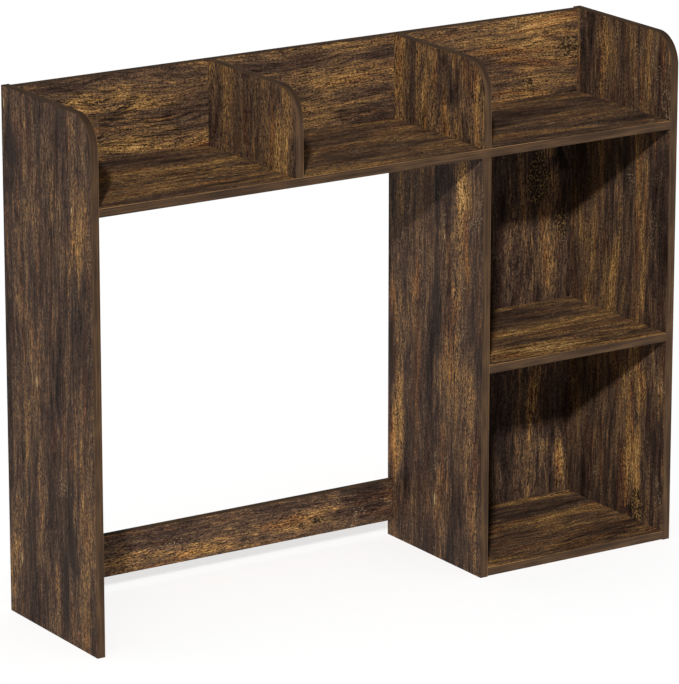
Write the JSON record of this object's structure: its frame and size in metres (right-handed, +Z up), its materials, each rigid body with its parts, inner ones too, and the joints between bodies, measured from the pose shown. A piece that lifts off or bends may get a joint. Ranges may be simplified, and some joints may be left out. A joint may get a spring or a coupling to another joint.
{
  "type": "desk hutch",
  "caption": "Flat-pack desk hutch with a cubby row along its top shelf, an open monitor bay braced by a low rear stretcher, and a side tower of open compartments.",
  "frame": {"origin": "centre of the footprint, on the desk surface that the uprights stand on", "axes": "+X to the right along the width, towards the tower; +Y to the rear, away from the open front; +Z up"},
  "size_m": [1, 0.253, 0.78],
  "materials": {
    "rustic_board": "particleboard with a printed rustic dark-brown wood-grain laminate, satin",
    "hardboard": "thin hardboard, printed on its front and bare on its rear",
    "edge_band": "thin plain-brown edge band with faint grain lines",
    "cam_zinc": "cast zinc, dull",
    "plated_steel": "yellowish zinc plating",
    "beech": "raw fluted hardwood"
  },
  "bodies": {
    "root": {"bottom_shelf": "rustic_board", "cam_bolt_bottom_shelf_left_front": "plated_steel", "cam_bolt_bottom_shelf_left_rear": "plated_steel", "cam_bolt_bottom_shelf_right_front": "plated_steel", "cam_bolt_bottom_shelf_right_rear": "plated_steel", "cam_bolt_middle_shelf_left_front": "plated_steel", "cam_bolt_middle_shelf_left_rear": "plated_steel", "cam_bolt_middle_shelf_right_front": "plated_steel", "cam_bolt_middle_shelf_right_rear": "plated_steel", "cam_bolt_stretcher_left": "plated_steel", "cam_bolt_stretcher_right": "plated_steel", "cam_bolt_top_shelf_left_front": "plated_steel", "cam_bolt_top_shelf_left_rear": "plated_steel", "cam_bolt_top_shelf_right_front": "plated_steel", "cam_bolt_top_shelf_right_rear": "plated_steel", "cam_bolt_tower_top_front": "plated_steel", "cam_bolt_tower_top_rear": "plated_steel", "cam_lock_bottom_shelf_left_front": "cam_zinc", "cam_lock_bottom_shelf_left_rear": "cam_zinc", "cam_lock_bottom_shelf_right_front": "cam_zinc", "cam_lock_bottom_shelf_right_rear": "cam_zinc", "cam_lock_middle_shelf_left_front": "cam_zinc", "cam_lock_middle_shelf_left_rear": "cam_zinc", "cam_lock_middle_shelf_right_front": "cam_zinc", "cam_lock_middle_shelf_right_rear": "cam_zinc", "cam_lock_stretcher_left": "cam_zinc", "cam_lock_stretcher_right": "cam_zinc", "cam_lock_top_shelf_left_front": "cam_zinc", "cam_lock_top_shelf_left_rear": "cam_zinc", "cam_lock_top_shelf_right_front": "cam_zinc", "cam_lock_top_shelf_right_rear": "cam_zinc", "cam_lock_tower_top_front": "cam_zinc", "cam_lock_tower_top_rear": "cam_zinc", "dowel_bottom_shelf_left": "beech", "dowel_bottom_shelf_right": "beech", "dowel_middle_shelf_left": "beech", "dowel_middle_shelf_right": "beech", "dowel_stretcher_left": "beech", "dowel_stretcher_right": "beech", "dowel_top_shelf_left": "beech", "dowel_top_shelf_right": "beech", "dowel_tower_top": "beech", "dowel_upper_back_left": "beech", "dowel_upper_back_right": "beech", "left_divider": "rustic_board", "left_side_panel": "rustic_board", "middle_shelf": "rustic_board", "rear_stretcher": "rustic_board", "right_divider": "rustic_board", "right_side_panel": "rustic_board", "screw_left_divider_back": "plated_steel", "screw_left_divider_front": "plated_steel", "screw_left_divider_rear": "plated_steel", "screw_right_divider_back": "plated_steel", "screw_right_divider_front": "plated_steel", "screw_right_divider_rear": "plated_steel", "top_shelf": "rustic_board", "tower_back_panel": "hardboard", "tower_side_panel": "rustic_board", "upper_back_panel": "rustic_board"}
  },
  "joints": []
}
